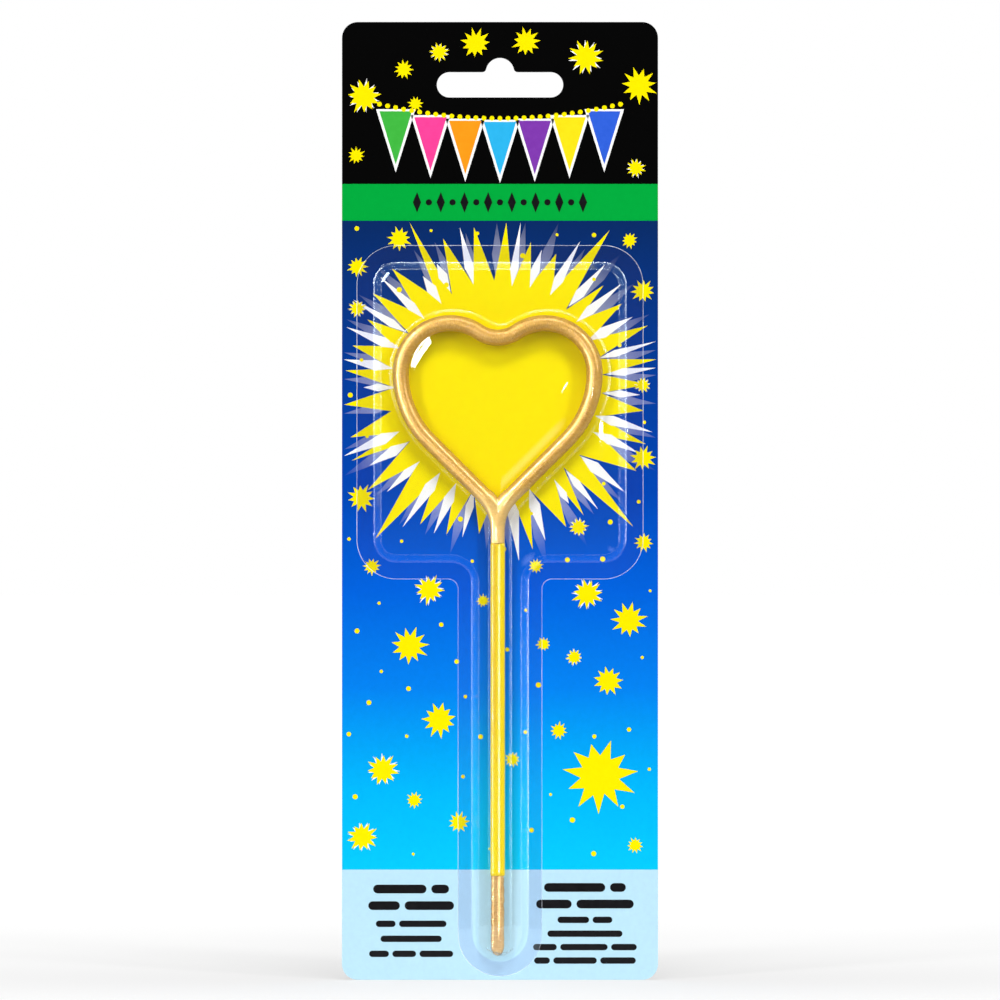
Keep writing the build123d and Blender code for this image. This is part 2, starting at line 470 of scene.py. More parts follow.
# %% Prisms of ink
INK_STEP = 0.006
INK_SUNK = 0.01
INK_CLOUD_CELLS = 700.0
INK_SPECK_CELLS = 5200.0


def ink_material(name, deep, light):
    """An ink with faint clouds between a deep and a light tone, and a satin varnish."""
    finish = new_finish(name)
    cloud = finish.noise(finish.place(), INK_CLOUD_CELLS)
    speck = finish.noise(finish.place(), INK_SPECK_CELLS, 2.0)
    ink = finish.mix(cloud, colour(*deep), colour(*light))
    relief = finish.bump(speck, PRINT_RELIEF, 0.3)
    return finish.painted({"Base Color": ink, **varnish(speck), "Normal": relief})


def add_ink(name, centres, outlines, layer, material):
    """Closed prisms on the card's front, one for each centre, in layer order from the board up.

    outlines holds, for each shape, its corners about its centre, counter-clockwise from the front.
    The front and the back are fans of triangles from the centre to the rim, joined by a wall.
    """
    shapes, corners = outlines.shape[:2]
    rim = centres[:, None, :] + outlines
    flat = np.concatenate([rim, rim, centres[:, None, :], centres[:, None, :]], axis=1)
    depth = np.full(2 * corners + 2, card_front + INK_SUNK)
    depth[:corners] = depth[2 * corners] = card_front - INK_STEP * layer
    depths = np.broadcast_to(depth, flat.shape[:2])
    points = np.stack([flat[..., 0], depths, flat[..., 1]], axis=-1)
    here = np.arange(corners)
    after = (here + 1) % corners
    front = np.stack([np.full(corners, 2 * corners), here, after], axis=1)
    back = np.stack([np.full(corners, 2 * corners + 1), corners + after, corners + here], axis=1)
    wall = np.stack([here, corners + here, corners + after], axis=1)
    lip = np.stack([here, corners + after, after], axis=1)
    first_points = (2 * corners + 2) * np.arange(shapes)[:, None, None]
    faces = (np.concatenate([front, back, wall, lip])[None] + first_points).reshape(-1, 3)
    flat_points = points.reshape(-1, 3)
    add_piece(name, flat_points, [faces], "card", "printed_board", material, smooth=False)


def spiky(turns, tips, valleys):
    """Outlines that go out to a tip and back to a valley, tip by tip, from angles and lengths."""
    lengths = np.stack([tips, valleys], axis=-1).reshape(tips.shape[0], -1)
    return lengths[..., None] * np.stack([np.cos(turns), np.sin(turns)], axis=-1)


yellow_ink = ink_material("yellow_ink", (255, 232, 0), (255, 240, 2))
white_ink = ink_material("white_ink", (252, 252, 250), (255, 255, 255))
print("inks ready")

# %% [markdown]
# ## The burst behind the heart
# Light bursts out behind the heart: a yellow disc whose rim runs out in long spikes, with a white
# sliver beside each spike and dim rays farther out. The disc is one closed outline whose radius swings
# between tips and valleys. The slivers and the rays are kites: a point near the disc, two corners and a
# far tip. Tip lengths come from a seeded generator, and the card's edge and the band limit them. The
# dim rays are printed in the sky's own blue with a white tint, so nothing has to be see-through.

# %% Burst
BURST_CENTRE = np.array([-0.5, -80.0])
BURST_MARGIN = 0.5
SPIKES = 33
LONG_SPIKE = 49.0
LONG_SPIKE_TURNS = np.radians([60, 121, -50, -125])
SPIKE_SHIFT = 0.2
SPIKE_LENGTHS = (37.0, 43.0)
VALLEY_SHARES = (0.42, 0.58)
VALLEY_RADII = (26.0, 28.5)
HAZE_SHIFT = 0.3
HAZE_START = 26.0
HAZE_LENGTHS = (40.0, 47.0)
HAZE_TAPER = 8.0
HAZE_HALF_WIDTH = 1.3
HAZE_FADE = (0.047, 0.030)
HAZE_TINT = 0.42
SLIVER_SHARE = 0.92
SLIVER_STARTS = (25.5, 27.5)
SLIVER_LENGTHS = (34.0, 45.0)
SLIVER_HALF_WIDTHS = (0.9, 1.5)
SLIVER_BELLY = 4.5
LEAST_SHARE = 0.01
rng = np.random.default_rng(14)


def burst_reach(turns, wanted):
    """The wanted length of each ray, or less where the card's side or the band is nearer."""
    side_room = card_high[0] - BURST_MARGIN - np.sign(np.cos(turns)) * BURST_CENTRE[0]
    side_limit = side_room / np.maximum(np.abs(np.cos(turns)), LEAST_SHARE)
    top_limit = (BAND_END - BURST_MARGIN - BURST_CENTRE[1]) / np.maximum(np.sin(turns), LEAST_SHARE)
    return np.minimum(wanted, np.minimum(side_limit, top_limit))


def kite_outlines(turns, inner, middle, tips, half_widths):
    """Kites that point outwards: an inner corner, two side corners at the middle radius and a far tip."""
    swing = half_widths / middle
    radii = np.stack([tips, middle, inner, middle], axis=1)
    angles = np.stack([turns, turns + swing, turns, turns - swing], axis=1)
    corners = radii[..., None] * np.stack([np.cos(angles), np.sin(angles)], axis=-1)
    centres = corners[:, [1, 3]].mean(axis=1)
    return BURST_CENTRE + centres, corners - centres[:, None]


def haze_finish():
    """The sky's own ink with a white tint that fades out with the distance from the burst's centre."""
    finish = new_finish("haze_ink")
    place = finish.place()
    height = finish.part(place, 2) / MM
    centre = (BURST_CENTRE[0] * MM, card_front * MM, BURST_CENTRE[1] * MM)
    offset = finish.node("VectorMath", {"operation": "SUBTRACT"}, {0: place, 1: centre})
    distance = finish.length(offset)
    mottle = finish.noise(place, MOTTLE_CELLS)
    fade = finish.ease(distance, *HAZE_FADE, HAZE_TINT)
    tint = finish.mix(mottle, colour(196, 200, 226), colour(228, 230, 244))
    ink = finish.mix(fade, mottled(finish, mottle, sky_ink(finish, height)), tint)
    return finish.painted({"Base Color": ink, **varnish(mottle)})


print("burst of", SPIKES, "spikes at", BURST_CENTRE)

# %% Lay out and print the burst
spacing = 2 * np.pi / SPIKES
spike_turns = spacing * (np.arange(SPIKES) + rng.uniform(-SPIKE_SHIFT, SPIKE_SHIFT, SPIKES))
valley_turns = spike_turns + spacing * rng.uniform(*VALLEY_SHARES, SPIKES)
spike_lengths = rng.uniform(*SPIKE_LENGTHS, SPIKES)
from_long = np.angle(np.exp(1j * (spike_turns[:, None] - LONG_SPIKE_TURNS)))
spike_lengths[np.abs(from_long).argmin(axis=0)] = LONG_SPIKE
spike_tips = burst_reach(spike_turns, spike_lengths)
disc_turns = np.stack([spike_turns, valley_turns], axis=-1).reshape(1, -1)
disc = spiky(disc_turns, spike_tips[None], rng.uniform(*VALLEY_RADII, (1, SPIKES)))
haze_turns = spike_turns + spacing * HAZE_SHIFT
haze_tips = burst_reach(haze_turns, rng.uniform(*HAZE_LENGTHS, SPIKES))
haze_inner = np.full(SPIKES, HAZE_START)
haze_widths = np.full(SPIKES, HAZE_HALF_WIDTH)
haze = kite_outlines(haze_turns, haze_inner, haze_tips - HAZE_TAPER, haze_tips, haze_widths)
sliver_turns = valley_turns[rng.random(SPIKES) < SLIVER_SHARE]
slivers_kept = len(sliver_turns)
sliver_tips = burst_reach(sliver_turns, rng.uniform(*SLIVER_LENGTHS, slivers_kept))
sliver_inner = rng.uniform(*SLIVER_STARTS, slivers_kept)
sliver_widths = rng.uniform(*SLIVER_HALF_WIDTHS, slivers_kept)
slivers = kite_outlines(sliver_turns, sliver_inner, sliver_inner + SLIVER_BELLY, sliver_tips, sliver_widths)
add_ink("burst_haze", *haze, 1, haze_finish())
add_ink("burst_disc", BURST_CENTRE[None], disc, 2, yellow_ink)
add_ink("burst_slivers", *slivers, 3, white_ink)

# %% [markdown]
# ## Scattered stars
# Small many-pointed stars are strewn over the sky and the header, from tiny ones to one big one. Their
# places are a given list, as on the real card: how far across, how high and how large. A
# white star, turned a little, lies behind every third, so that its tips look white. Round dots fill
# the gaps. Each dot takes the best of many random places, the one farthest from all places before it.

# %% Places of the stars
STAR_POINTS = 11
STAR_TIPS = (0.84, 1.08)
STAR_VALLEYS = (0.94, 1.06)
STAR_VALLEY_SHARE = 0.54
WHITE_VALLEY_SHARE = 0.42
WHITE_TURN = 0.13
WHITE_EVERY = 3
DOT_COUNT = 74
DOT_RADII = (0.35, 0.72)
DOT_CORNERS = 8
DOT_FIELD = ((-38.5, -198.0), (38.5, -39.0))
DOT_FREE_RADIUS = 24.0
DOT_FREE_SIDES = [(1, 0), (0, 1), (-1, 0), (0, -1), (0.7, -0.7), (-0.7, -0.7)]
star_list = np.array(
    [
        (-34.4, -6.2, 4.5), (-24.4, 0.7, 2.5), (-21.4, -8.0, 2.0), (-15.4, 5.1, 2.5),
        (-6.2, 7.3, 3.9), (6.6, 7.7, 3.7), (21.8, 3.8, 4.5), (35.2, -3.4, 4.6),
        (-36.4, -21.1, 2.3), (34.4, -24.3, 2.5), (-25.5, -42.2, 3.2), (-36.1, -49.3, 2.7),
        (-36.1, -59.8, 2.3), (32.8, -42.6, 2.2), (36.2, -55.4, 3.1), (36.1, -79.2, 2.1),
        (36.2, -97.7, 3.3), (-35.2, -107.7, 3.6), (19.9, -115.2, 2.5), (36.4, -119.0, 2.5),
        (-32.5, -125.2, 2.3), (-17.9, -131.0, 3.9), (-22.9, -145.3, 4.9), (-15.3, -164.0, 4.6),
        (-29.7, -176.6, 4.2), (-21.7, -184.3, 2.2), (-10.4, -189.9, 2.8), (-34.8, -193.6, 4.0),
        (-4.3, -133.8, 1.8), (9.1, -125.0, 2.0), (22.1, -132.1, 4.0), (32.6, -138.8, 4.6),
        (11.0, -144.8, 2.0), (18.8, -148.1, 2.2), (27.4, -154.1, 4.0), (14.9, -166.7, 2.3),
        (3.1, -174.0, 2.1), (25.2, -178.1, 9.3), (34.2, -195.7, 2.2),
    ]
)
star_places = star_list[:, :2]
star_sizes = star_list[:, 2]
star_turns = rng.uniform(0, 1, len(star_list))
print("stars", len(star_list))


# %% Stars and dots
def strewn(count, low, high, taken, tries=60):
    """Places in a box, each the farthest of several random tries from every place before it."""
    places = list(taken)
    for _ in range(count):
        candidates = rng.uniform(low, high, (tries, 2))
        gaps = np.linalg.norm(candidates[:, None] - np.array(places)[None], axis=2).min(axis=1)
        places.append(candidates[np.argmax(gaps)])
    return np.array(places[len(taken):])


def star_outlines(sizes, valley_share, turn):
    """One star outline for each size, with tips of slightly uneven length."""
    steps = np.pi / STAR_POINTS * np.arange(2 * STAR_POINTS)
    tips = sizes[:, None] * rng.uniform(*STAR_TIPS, (len(sizes), STAR_POINTS))
    valleys = sizes[:, None] * valley_share * rng.uniform(*STAR_VALLEYS, (len(sizes), STAR_POINTS))
    return spiky(steps[None] + turn[:, None], tips, valleys)


def disc_outlines(sizes, corners=14):
    """One round outline for each radius."""
    turns = 2 * np.pi / corners * np.arange(corners)
    return sizes[:, None, None] * np.stack([np.cos(turns), np.sin(turns)], axis=-1)[None]


tipped = np.arange(len(star_list)) % WHITE_EVERY == 0
white_turns = star_turns[tipped] + WHITE_TURN
white_tips = star_outlines(star_sizes[tipped], WHITE_VALLEY_SHARE, white_turns)
add_ink("star_tips", star_places[tipped], white_tips, 4, white_ink)
yellow_stars = star_outlines(star_sizes, STAR_VALLEY_SHARE, star_turns)
add_ink("stars", star_places, yellow_stars, 5, yellow_ink)
burst_edge = BURST_CENTRE + DOT_FREE_RADIUS * np.array(DOT_FREE_SIDES)
dot_places = strewn(DOT_COUNT, *DOT_FIELD, [*star_places, *burst_edge, BURST_CENTRE])
dots = disc_outlines(rng.uniform(*DOT_RADII, DOT_COUNT), DOT_CORNERS)
add_ink("dots", dot_places, dots, 4, yellow_ink)

# %% [markdown]
# ## Plain ornament in the header, the band and the foot
# The head of the card gets a party garland: a row of pennants in seven bright colours on a string of
# yellow beads. The green band holds a row of diamonds and dots, and the foot has short rounded bars in
# centred rows. All of it is plain ornament without words, made from the same prisms.

# %% Garland
PENNANT_WIDTH = 8.2
PENNANT_DROP = 13.5
PENNANT_RIM = 0.9
RIM_ABOVE = 0.6
RIM_BELOW = 2.2
TONE_LIFT = 12
BEADS = 31
BEAD_RADIUS = 0.62
BEAD_RISE = 0.9
GARLAND_HALF = 30.5
GARLAND_SAG = 3.6
GARLAND_TOP = -9.0
pennant_tones = {
    "green": (60, 178, 60),
    "pink": (243, 62, 148),
    "orange": (250, 150, 20),
    "cyan": (40, 176, 232),
    "purple": (122, 52, 168),
    "yellow": (252, 224, 20),
    "blue": (44, 92, 214),
}
PENNANTS = len(pennant_tones)


def garland_height(across):
    """The string sags like a parabola between its two ends."""
    return GARLAND_TOP - GARLAND_SAG * (1 - (across / GARLAND_HALF) ** 2)


def pennant_outline(width, drop, rim):
    """A pointed flag about its own middle, grown outwards by a rim."""
    half = width / 2 + rim
    top = drop / 2 + rim * RIM_ABOVE
    point = -drop / 2 - rim * RIM_BELOW
    return np.array([[(-half, top), (0, point), (half, top)]])


pennant_x = np.linspace(-1, 1, PENNANTS) * (GARLAND_HALF - PENNANT_WIDTH / 2)
pennant_z = garland_height(pennant_x) - PENNANT_DROP / 2
pennant_places = np.stack([pennant_x, pennant_z], axis=1)
rims = np.repeat(pennant_outline(PENNANT_WIDTH, PENNANT_DROP, PENNANT_RIM), PENNANTS, axis=0)
add_ink("pennant_rims", pennant_places, rims, 4, white_ink)
for place, (tone, ink) in zip(pennant_places, pennant_tones.items()):
    lighter = tuple(min(255, part + TONE_LIFT) for part in ink)
    tone_ink = ink_material(tone + "_ink", ink, lighter)
    flag = pennant_outline(PENNANT_WIDTH, PENNANT_DROP, 0.0)
    add_ink("pennant_" + tone, place[None], flag, 5, tone_ink)
bead_x = np.linspace(-GARLAND_HALF, GARLAND_HALF, BEADS)
bead_places = np.stack([bead_x, garland_height(bead_x) + BEAD_RISE], axis=1)
add_ink("garland_beads", bead_places, disc_outlines(np.full(BEADS, BEAD_RADIUS)), 6, yellow_ink)

# %% Band
BAND_MARKS = 15
BAND_HALF = 21.0
DIAMOND_SIDE = 1.05
DIAMOND_TIP = 2.6
BAND_DOT = 0.8
black_ink = ink_material("black_ink", (16, 16, 18), (30, 29, 32))
band_middle = (HEADER_END + BAND_END) / 2
band_x = np.linspace(-BAND_HALF, BAND_HALF, BAND_MARKS)
band_places = np.stack([band_x, np.full(BAND_MARKS, band_middle)], axis=1)
diamond_places = band_places[::2]
diamond = np.array([(DIAMOND_SIDE, 0), (0, DIAMOND_TIP), (-DIAMOND_SIDE, 0), (0, -DIAMOND_TIP)])
diamonds = np.repeat(diamond[None], len(diamond_places), axis=0)
add_ink("band_diamonds", diamond_places, diamonds, 4, black_ink)
between_diamonds = band_places[1::2]
band_dots = disc_outlines(np.full(len(between_diamonds), BAND_DOT))
add_ink("band_dots", between_diamonds, band_dots, 4, black_ink)

# %% Foot
BAR_GAP = 0.55


def bar_outlines(lengths, heights, corners=8):
    """Bars with half-round ends: two half circles, moved apart by the bar's straight length."""
    turns = np.pi / (corners - 1) * np.arange(corners) - np.pi / 2
    right = np.stack([np.cos(turns), np.sin(turns)], axis=-1)
    rounds = np.concatenate([right, -right])[None] * heights[:, None, None] / 2
    reach = np.repeat([1.0, -1.0], corners)[None] * (lengths - heights)[:, None] / 2
    rounds[..., 0] += reach
    return rounds


def foot_block(middle, rows):
    """Centred rows of bars: each row gives its height on the card, its bar height and bar lengths."""
    places, lengths, heights = [], [], []
    for level, bar_height, bars in rows:
        gap = BAR_GAP * bar_height
        starts = np.concatenate([[0], np.cumsum(np.array(bars[:-1]) + gap)])
        total = sum(bars) + gap * (len(bars) - 1)
        places += [(middle - total / 2 + start + bar / 2, level) for start, bar in zip(starts, bars)]
        lengths += bars
        heights += [bar_height] * len(bars)
    return np.array(places), bar_outlines(np.array(lengths), np.array(heights))


left_rows = [
    (-206.8, 2.2, [13.5, 4.5]),
    (-211.0, 2.2, [8.0, 12.5]),
    (-215.6, 1.6, [5.0, 12.0]),
    (-219.4, 1.6, [15.5]),
    (-223.2, 1.6, [5.0, 6.0, 8.5]),
]
right_rows = [
    (-206.4, 2.2, [15.5, 4.0]),
    (-210.6, 2.2, [9.0, 14.5]),
    (-214.6, 1.6, [8.0, 5.0]),
    (-218.1, 1.6, [19.0]),
    (-221.5, 1.6, [6.0, 12.0, 6.5]),
    (-224.9, 1.6, [4.0, 11.0, 9.0]),
]
for side, middle, rows in (("left", -22.5, left_rows), ("right", 21.5, right_rows)):
    add_ink("foot_bars_" + side, *foot_block(middle, rows), 4, black_ink)

# %% [markdown]
# ## The heart's line
# The wire's centre line is made of true arcs: a small one in the cleft, one round the lobe, a larger
# one down the side, a straight arm and a bend into the stem. The same arcs, moved outwards, give the
# pocket in the blister, so one function draws both. Points along a line are spaced evenly, which
# keeps the faces of a swept tube alike.

# %% Arcs and even spacing
LOBE_RADIUS = 12.6
CLEFT_RADIUS = 8.6
SIDE_RADIUS = 24.0
NECK_BEND = 11.0
ARM_SLOPE = 45.0
coat_radius = (coat_high[1] - coat_low[1]) / 2
sparkler_x = (coat_low[0] + coat_high[0]) / 2
sparkler_y = (coat_low[1] + coat_high[1]) / 2
heart_half = (coat_high[0] - coat_low[0]) / 2 - coat_radius
lobe_centre = np.array([heart_half - LOBE_RADIUS, coat_high[2] - coat_radius - LOBE_RADIUS])
side_centre = np.array([heart_half - SIDE_RADIUS, lobe_centre[1]])
cleft_turn = math.degrees(math.asin(lobe_centre[0] / (LOBE_RADIUS + CLEFT_RADIUS)))
cleft_rise = (LOBE_RADIUS + CLEFT_RADIUS) * math.cos(math.radians(cleft_turn))
cleft_centre = np.array([0.0, lobe_centre[1] + cleft_rise])
arm_out = np.array([math.cos(math.radians(ARM_SLOPE)), -math.sin(math.radians(ARM_SLOPE))])


def arc(centre, radius, start, end, count=60):
    """Points on a circle from one angle to another, in degrees counter-clockwise from +X."""
    turns = np.radians(np.linspace(start, end, count))
    return np.asarray(centre) + radius * np.stack([np.cos(turns), np.sin(turns)], axis=1)


def evenly(points, count):
    """The line through the points, sampled again at evenly spaced steps along its length."""
    steps = np.hypot(*np.diff(points, axis=0).T)
    walked = np.concatenate([[0], np.cumsum(steps)])
    wanted = np.linspace(0, walked[-1], count)
    return np.stack([np.interp(wanted, walked, points[:, axis]) for axis in (0, 1)], axis=1)


print("heart half width", round(heart_half, 2), "cleft turn", round(cleft_turn, 2))

# %% [markdown]
# ## The gold coat
# The heart is dipped in a sparkler paste and painted gold, so it is a thick round bar with a soft,
# slightly hammered skin. It is swept as a tube: rings of points stand square to the centre line. One
# half is made and mirrored. Where the two legs run into each other, points that would cross the
# middle are held on it, and a little smoothing lets the coat flow together as wet paste does.

# %% Gold coat
COAT_STEPS = 330
COAT_COLUMNS = 44
NECK_RADIUS = 1.0
NECK_EASE = 2.5
LEG_HALF = (sleeve_high[0] - sleeve_low[0]) / 2 - (sleeve_high[1] - sleeve_low[1]) / 2
COAT_WAVES = 60
WAVE_LENGTHS = (0.6, 2.4)
COAT_ROUGHNESS = 0.01
SEAM_CALM = 2.0
SEAM_GAP = 1e-6
FORK_EASE = 2.0
FORK_FILL = 0.3
FORK_WIDTH = 0.55
WEB_GAP = 0.8
WEB_BLEND = 2.4


def heart_path():
    """The right half of the wire's centre line, from the cleft down to the top of the sleeve."""
    side_end = side_centre + SIDE_RADIUS * arm_out
    bend_x = LEG_HALF + NECK_BEND
    arm_reach = side_centre @ arm_out + SIDE_RADIUS + NECK_BEND
    bend_centre = np.array([bend_x, (arm_reach - bend_x * arm_out[0]) / arm_out[1]])
    stretches = [
        arc(cleft_centre, CLEFT_RADIUS, -90, -90 + cleft_turn),
        arc(lobe_centre, LOBE_RADIUS, 90 + cleft_turn, 0),
        arc(side_centre, SIDE_RADIUS, 0, -ARM_SLOPE),
        np.array([side_end, bend_centre - NECK_BEND * arm_out]),
        arc(bend_centre, NECK_BEND, 180 - ARM_SLOPE, 180),
        np.array([(LEG_HALF, bend_centre[1]), (LEG_HALF, coat_low[2])]),
    ]
    return evenly(np.concatenate(stretches), COAT_STEPS), bend_centre


def hammered(along, around):
    """A sum of many small waves in random directions, which looks like a hand-dipped skin."""
    lengths = rng.uniform(*WAVE_LENGTHS, COAT_WAVES)
    headings = rng.uniform(0, np.pi, COAT_WAVES)
    starts = rng.uniform(0, 2 * np.pi, COAT_WAVES)
    phase = np.cos(headings) * along[..., None] + np.sin(headings) * around[..., None]
    waves = np.sin(2 * np.pi / lengths * phase + starts) * lengths
    return waves.sum(axis=-1) / np.sqrt((lengths**2).sum() / 2)


print("coat radius", round(coat_radius, 2), "legs", round(2 * LEG_HALF, 2), "mm apart")


# %% Rings of the coat
def half_coat():
    """Rings round the path: centre plus radius times the ring's two directions, held at x of 0 or more."""
    path, bend_centre = heart_path()
    heading = np.gradient(path, axis=0)
    heading /= np.linalg.norm(heading, axis=1, keepdims=True)
    heading[0] = (1, 0)
    step = np.linalg.norm(path[1] - path[0])
    along = step * np.arange(COAT_STEPS)
    bend_length = NECK_BEND * math.radians(ARM_SLOPE)
    bend_start = along[-1] - (bend_centre[1] - coat_low[2]) - bend_length
    share = np.clip((along - bend_start) / (bend_length + NECK_EASE), 0, 1)
    radius = coat_radius + (NECK_RADIUS - coat_radius) * share**2 * (3 - 2 * share)
    turns = 2 * np.pi / COAT_COLUMNS * np.arange(COAT_COLUMNS)
    around = coat_radius * turns
    skin = hammered(*np.broadcast_arrays(along[:, None], around[None]))
    fade = np.minimum(1, along / SEAM_CALM)[:, None]
    bumps = COAT_ROUGHNESS * skin * fade * (radius / coat_radius)[:, None]
    reach = radius[:, None] + bumps - COAT_ROUGHNESS
    across = reach * np.cos(turns)
    x = path[:, :1] + heading[:, 1:] * across
    z = path[:, 1:] - heading[:, :1] * across
    forking = np.clip(share * FORK_EASE, 0, 1)[:, None]
    fork = FORK_FILL * forking * np.exp(-((np.maximum(x, 0) / FORK_WIDTH) ** 2))
    y = -reach * np.sin(turns) * (1 + fork)
    pulled = np.where(x < WEB_BLEND, (x - WEB_GAP) * WEB_BLEND / (WEB_BLEND - WEB_GAP), x)
    in_fork = (path[:, 1] < lobe_centre[1])[:, None]
    x = np.where(in_fork & (across > 0), pulled, x)
    points = np.stack([np.maximum(x, 0), y, z], axis=-1)
    grain = np.stack([*np.broadcast_arrays(along[:, None], around[None], 0.0)], axis=-1)
    return points.reshape(-1, 3), grain.reshape(-1, 3)


right_points, right_grain = half_coat()
coat_faces = grid_faces(COAT_STEPS, COAT_COLUMNS, around=True)
on_middle = right_points[:, 0] < SEAM_GAP
coat_faces = coat_faces[~on_middle[coat_faces].all(axis=1)]
left_points = right_points * (-1, 1, 1)
coat_points = np.concatenate([right_points, left_points])
both_faces = np.concatenate([coat_faces, coat_faces[:, ::-1] + len(right_points)])
print("half coat", len(right_points), "points,", len(coat_faces), "faces")

# %% [markdown]
# ## Gold paint
# Close up the gold is not a mirror: it is metal powder in lacquer, brushed round the bar, so short
# slanting strokes, tiny bright flakes and a few dark pits lie in a satin sheen. The strokes follow the
# bar, so they read an attribute that holds the distance along and around it. A thin clear lacquer lies
# over the paint and is glossier down the neck, where the gold is painted paler as a painted highlight.
# The gold is also painted darker towards the bar's outline, as painted shade.

# %% Gold finish
STROKE_TURN = 0.9
STROKE_CONTRAST = 1.4
CLOUD_CELLS = 0.35
CLOUD_CONTRAST = 0.6
PAINT_LEVEL = 0.24
FLAKE_CELLS = 9.0
FLAKE_LIMIT = 0.93
PIT_CELLS = 0.55
PIT_REACH = 0.07
PIT_STRENGTH = 0.55
NECK_START = coat_low[2] + 16.0
NECK_FULL = coat_low[2] + 9.0
NECK_HIGHLIGHT_SHARE = 0.5
EDGE_SHADE_POWER = 3.0
EDGE_SHADE_SHARE = 0.7
FLAKE_SHARE = 0.5
GOLD_RELIEF = 0.00003


def gold_finish(name, place_of, deep, light, strokes_scale):
    """Metal powder lacquer: slanting strokes, bright flakes and dark pits, under a clear coat."""
    finish = new_finish(name)
    place = place_of(finish)
    slanted = finish.mapped(place, strokes_scale, (0, 0, STROKE_TURN))
    strokes = finish.noise(slanted, 1.0, 4.0)
    cloud = finish.noise(place, CLOUD_CELLS, 2.0)
    flakes = finish.node("TexVoronoi", {}, {"Vector": place, "Scale": FLAKE_CELLS}, output="Color")
    flake = finish.node("SeparateColor", {}, {0: flakes})
    pits = finish.node("TexVoronoi", {}, {"Vector": place, "Scale": PIT_CELLS}, output="Distance")
    pit = (pits < PIT_REACH) * PIT_STRENGTH
    # Painted shade: the paint is mixed towards dark brown where the bar turns away from the eye.
    rim = finish.slant() ** EDGE_SHADE_POWER
    height = finish.part(finish.place(), 2) / MM
    neck = finish.ease(height, NECK_START, NECK_FULL) * (height > coat_low[2])
    tone = (strokes - 0.5) * STROKE_CONTRAST + cloud * CLOUD_CONTRAST + PAINT_LEVEL
    paint = finish.mix(tone, colour(*deep), colour(*light))
    # Painted highlight: the gold is painted paler down the neck; the same mask makes the lacquer there
    # glossier.
    paint = finish.mix(neck * NECK_HIGHLIGHT_SHARE, paint, colour(255, 216, 132))
    paint = finish.mix(rim * EDGE_SHADE_SHARE, paint, colour(128, 80, 30))
    paint = finish.mix((flake > FLAKE_LIMIT) * FLAKE_SHARE, paint, colour(255, 226, 160))
    paint = finish.mix(pit, paint, colour(96, 60, 22))
    sockets = {
        "Base Color": paint,
        "Metallic": 0.3,
        "Roughness": 0.34 + strokes * 0.14,
        "Coat Weight": 0.35 + neck * 0.6,
        "Coat Roughness": 0.06,
        "Normal": finish.bump(strokes + flake * 0.2 - pit, GOLD_RELIEF, 0.5),
    }
    return finish.painted(sockets)


def grain_attribute(finish):
    """The place along and around the bar, in millimetres, as stored on the mesh."""
    return finish.node("Attribute", {"attribute_name": "grain"}, output="Vector")


gold_coat = gold_finish("gold_coat", grain_attribute, (168, 111, 28), (226, 179, 74), (3.6, 1.0, 1))
print("gold finish", gold_coat.name)

# %% Weld the halves and smooth the fork
FORK_REACH = 1.4
FORK_TOP = coat_low[2] + 26.0
FORK_FOOT = coat_low[2] + 0.6
FORK_PASSES = 3
FORK_SMOOTHING = 0.5
COAT_WELD = 0.001


def welded_coat():
    """Both halves as one closed mesh, with the coat flowing together between the legs."""
    piece = add_piece("gold_heart", coat_points, [both_faces], "sparkler", "gold_coat", gold_coat)
    attribute = piece.data.attributes.new("grain", "FLOAT_VECTOR", "POINT")
    left_grain = right_grain * (-1, 1, 1)
    attribute.data.foreach_set("vector", np.concatenate([right_grain, left_grain]).ravel())
    shape = bmesh.new()
    shape.from_mesh(piece.data)
    bmesh.ops.remove_doubles(shape, verts=shape.verts[:], dist=COAT_WELD * MM)
    loose = [vertex for vertex in shape.verts if not vertex.link_faces]
    bmesh.ops.delete(shape, geom=loose, context="VERTS")
    open_edges = [edge for edge in shape.edges if edge.is_boundary]
    bmesh.ops.holes_fill(shape, edges=open_edges)
    near_middle = [vertex for vertex in shape.verts if abs(vertex.co.x) < FORK_REACH * MM]
    fork = [vertex for vertex in near_middle if FORK_FOOT * MM < vertex.co.z < FORK_TOP * MM]
    axes = {"use_axis_x": True, "use_axis_y": True, "use_axis_z": True}
    for _ in range(FORK_PASSES):
        bmesh.ops.smooth_vert(shape, verts=fork, factor=FORK_SMOOTHING, **axes)
    bmesh.ops.translate(shape, verts=shape.verts[:], vec=(sparkler_x * MM, sparkler_y * MM, 0))
    bmesh.ops.recalc_face_normals(shape, faces=shape.faces[:])
    for face in shape.faces:
        face.smooth = True
    shape.to_mesh(piece.data)
    shape.free()
    return piece


gold_heart = welded_coat()
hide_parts("heart_coating")
golden_heart.objects.link(gold_heart)

# %% [markdown]
# ## The yellow sleeve
# A thin plastic sleeve is shrunk over both legs. Its section is a flat oval with a shallow groove down
# the middle, where it dips between the legs, and light catches on the two ridges. The wall's own
# profile, down the outside and round a small lip at each end, is carried round that oval, so the sleeve
# is closed. A gold-toned sheen is painted on its upper left ridge, a painted reflection that fades out
# downwards.

# %% Stacked ovals
STEM_COLUMNS = 64
GROOVE_WIDTH = 0.42


def stem_oval(radius, groove):
    """A flat oval round both legs, as across and forward offsets, with a groove in front and behind."""
    oval = np.concatenate(
        [
            arc((LEG_HALF, 0), radius, -90, 90, 40),
            arc((-LEG_HALF, 0), radius, 90, 270, 40),
            [(LEG_HALF, -radius)],
        ]
    )
    ring = evenly(oval, STEM_COLUMNS + 1)[:-1]
    ring[:, 1] *= 1 - groove / radius * np.exp(-((ring[:, 0] / GROOVE_WIDTH) ** 2))
    return ring


